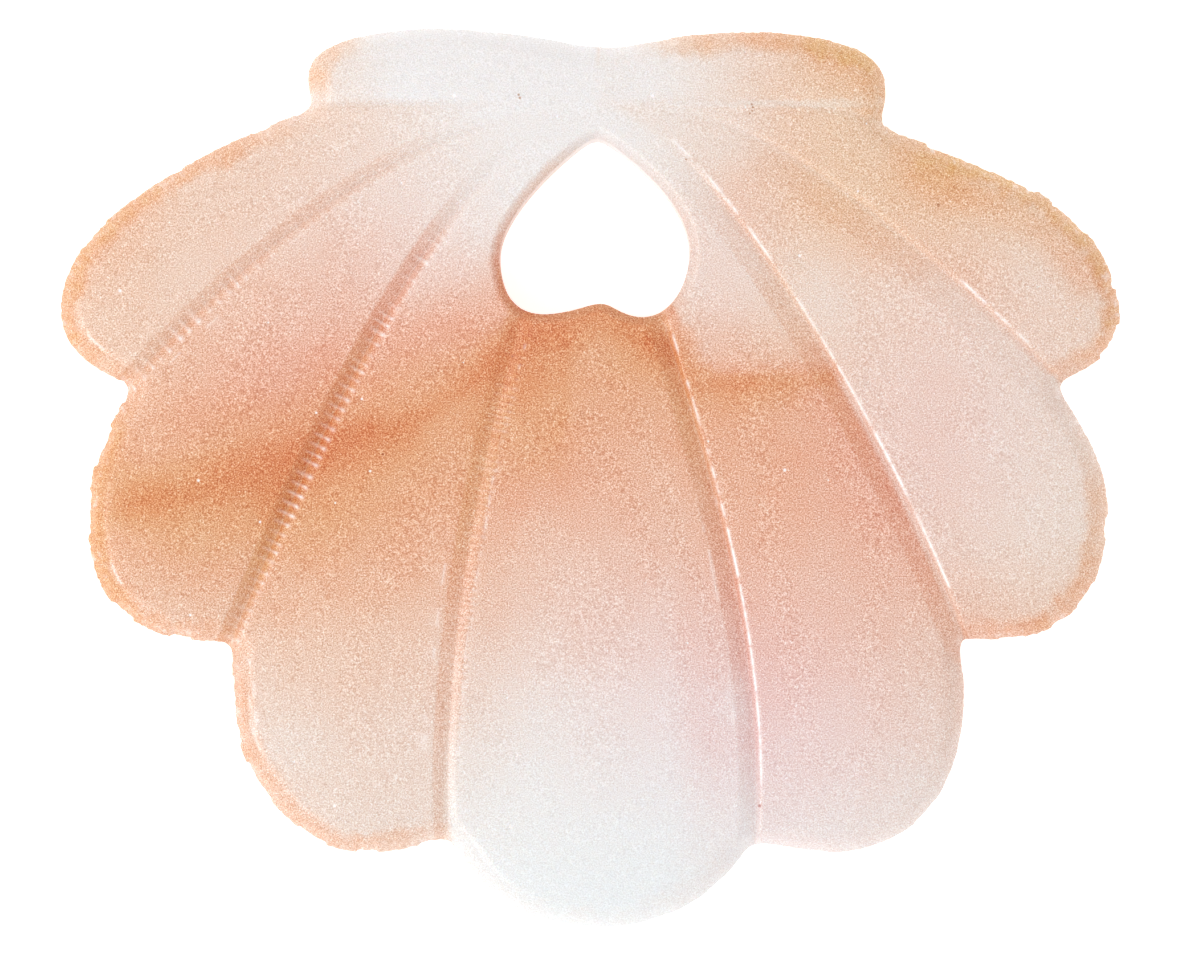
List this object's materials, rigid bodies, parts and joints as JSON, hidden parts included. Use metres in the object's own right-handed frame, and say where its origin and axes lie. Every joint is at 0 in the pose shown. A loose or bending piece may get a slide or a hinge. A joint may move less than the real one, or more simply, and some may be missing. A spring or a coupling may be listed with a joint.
{
  "type": "scallop shell pendant",
  "caption": "Flat-backed scallop shell pendant carved from one piece of hazy banded stone, ribbed and bevelled, pierced by a heart-shaped hole below the hinge.",
  "frame": {"origin": "centre of the flat back, under the middle of the outline's box", "axes": "+X across the shell, +Y towards the hinge ears, +Z out of the carved face"},
  "size_m": [0.05, 0.0426, 0.0044],
  "materials": {
    "agate": "fine satin polish, hazy and translucent"
  },
  "bodies": {
    "root": {"shell": "agate"}
  },
  "joints": []
}
